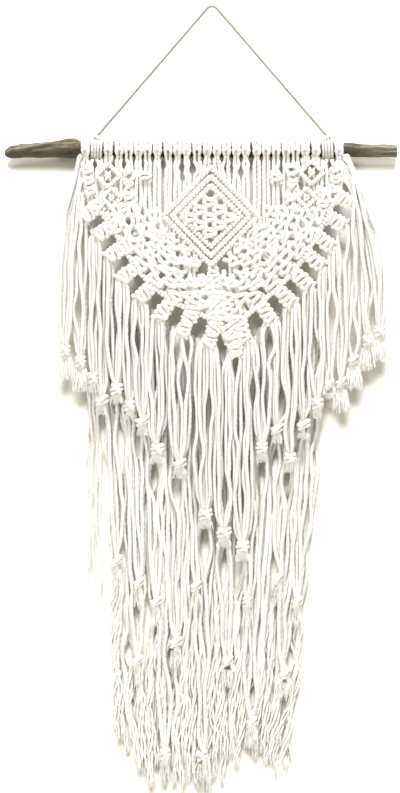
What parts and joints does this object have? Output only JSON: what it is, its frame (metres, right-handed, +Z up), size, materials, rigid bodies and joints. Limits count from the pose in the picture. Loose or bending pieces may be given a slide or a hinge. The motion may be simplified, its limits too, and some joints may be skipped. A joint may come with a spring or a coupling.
{
  "type": "macrame wall hanging on a driftwood branch",
  "caption": "Knotted cotton wall hanging with a central diamond and layered fringes, tied on a driftwood branch and hung by a cord.",
  "frame": {"origin": "where the nail or hook bears under the top of the hanger cord, on the branch's own centre plane", "axes": "+Z up, +X to the right along the branch as seen from the front, the front faces -Y and the wall stands behind at +Y"},
  "size_m": [0.4909, 0.0366, 0.9761],
  "materials": {
    "driftwood": "bare, weathered, dry",
    "cotton_cord": "twisted natural cotton, matt",
    "hanger_cotton": "twisted natural cotton, matt"
  },
  "bodies": {
    "root": {"branch": "driftwood", "hanger_cord": "hanger_cotton", "hanger_tie_left": "hanger_cotton", "hanger_tie_right": "hanger_cotton", "panel": "cotton_cord", "front_fringe": "cotton_cord", "back_fringe": "cotton_cord"}
  },
  "joints": []
}
